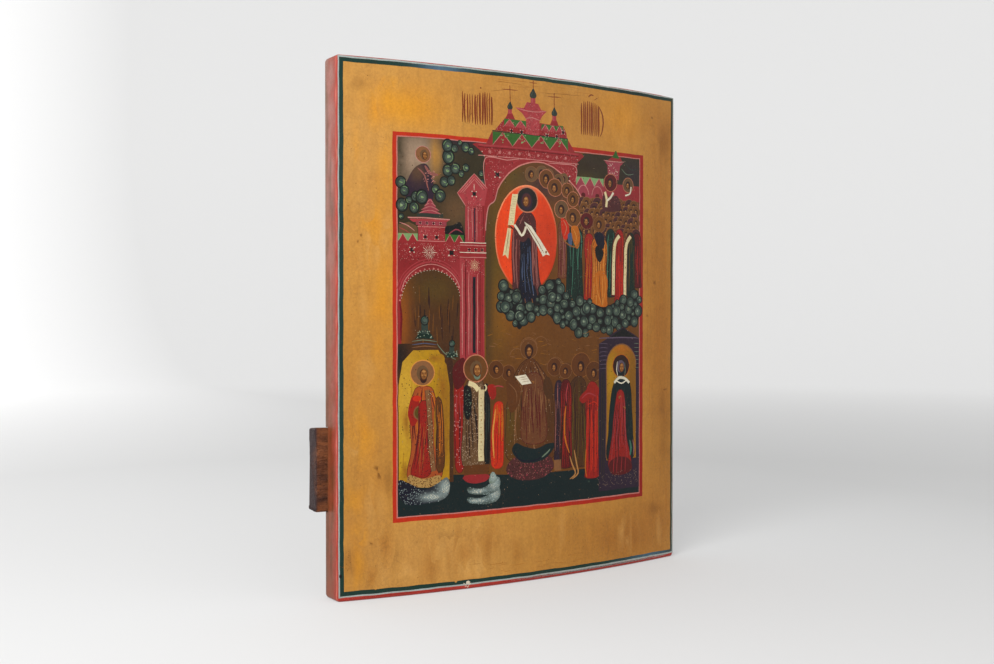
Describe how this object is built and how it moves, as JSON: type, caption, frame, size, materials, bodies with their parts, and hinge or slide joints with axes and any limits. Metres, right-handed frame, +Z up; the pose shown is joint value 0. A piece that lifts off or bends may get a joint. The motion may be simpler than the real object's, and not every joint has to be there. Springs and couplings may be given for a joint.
{
  "type": "icon panel",
  "caption": "Bowed wooden board painted on its front with a bordered scene of saints and buildings, held flat by two dovetailed battens across its back.",
  "frame": {"origin": "middle of the underside of the board, half-way through its thickness", "axes": "+X to the right seen from the painted front, +Y into the board towards its battens, +Z up along its height"},
  "size_m": [0.3036, 0.0422, 0.356],
  "materials": {
    "painted_board": "varnished paint on gesso over wood, crazed and darkened with age",
    "batten_wood": "dark red-brown hewn wood, dull"
  },
  "bodies": {
    "root": {"board": "painted_board", "lower_batten": "batten_wood", "upper_batten": "batten_wood"}
  },
  "joints": []
}
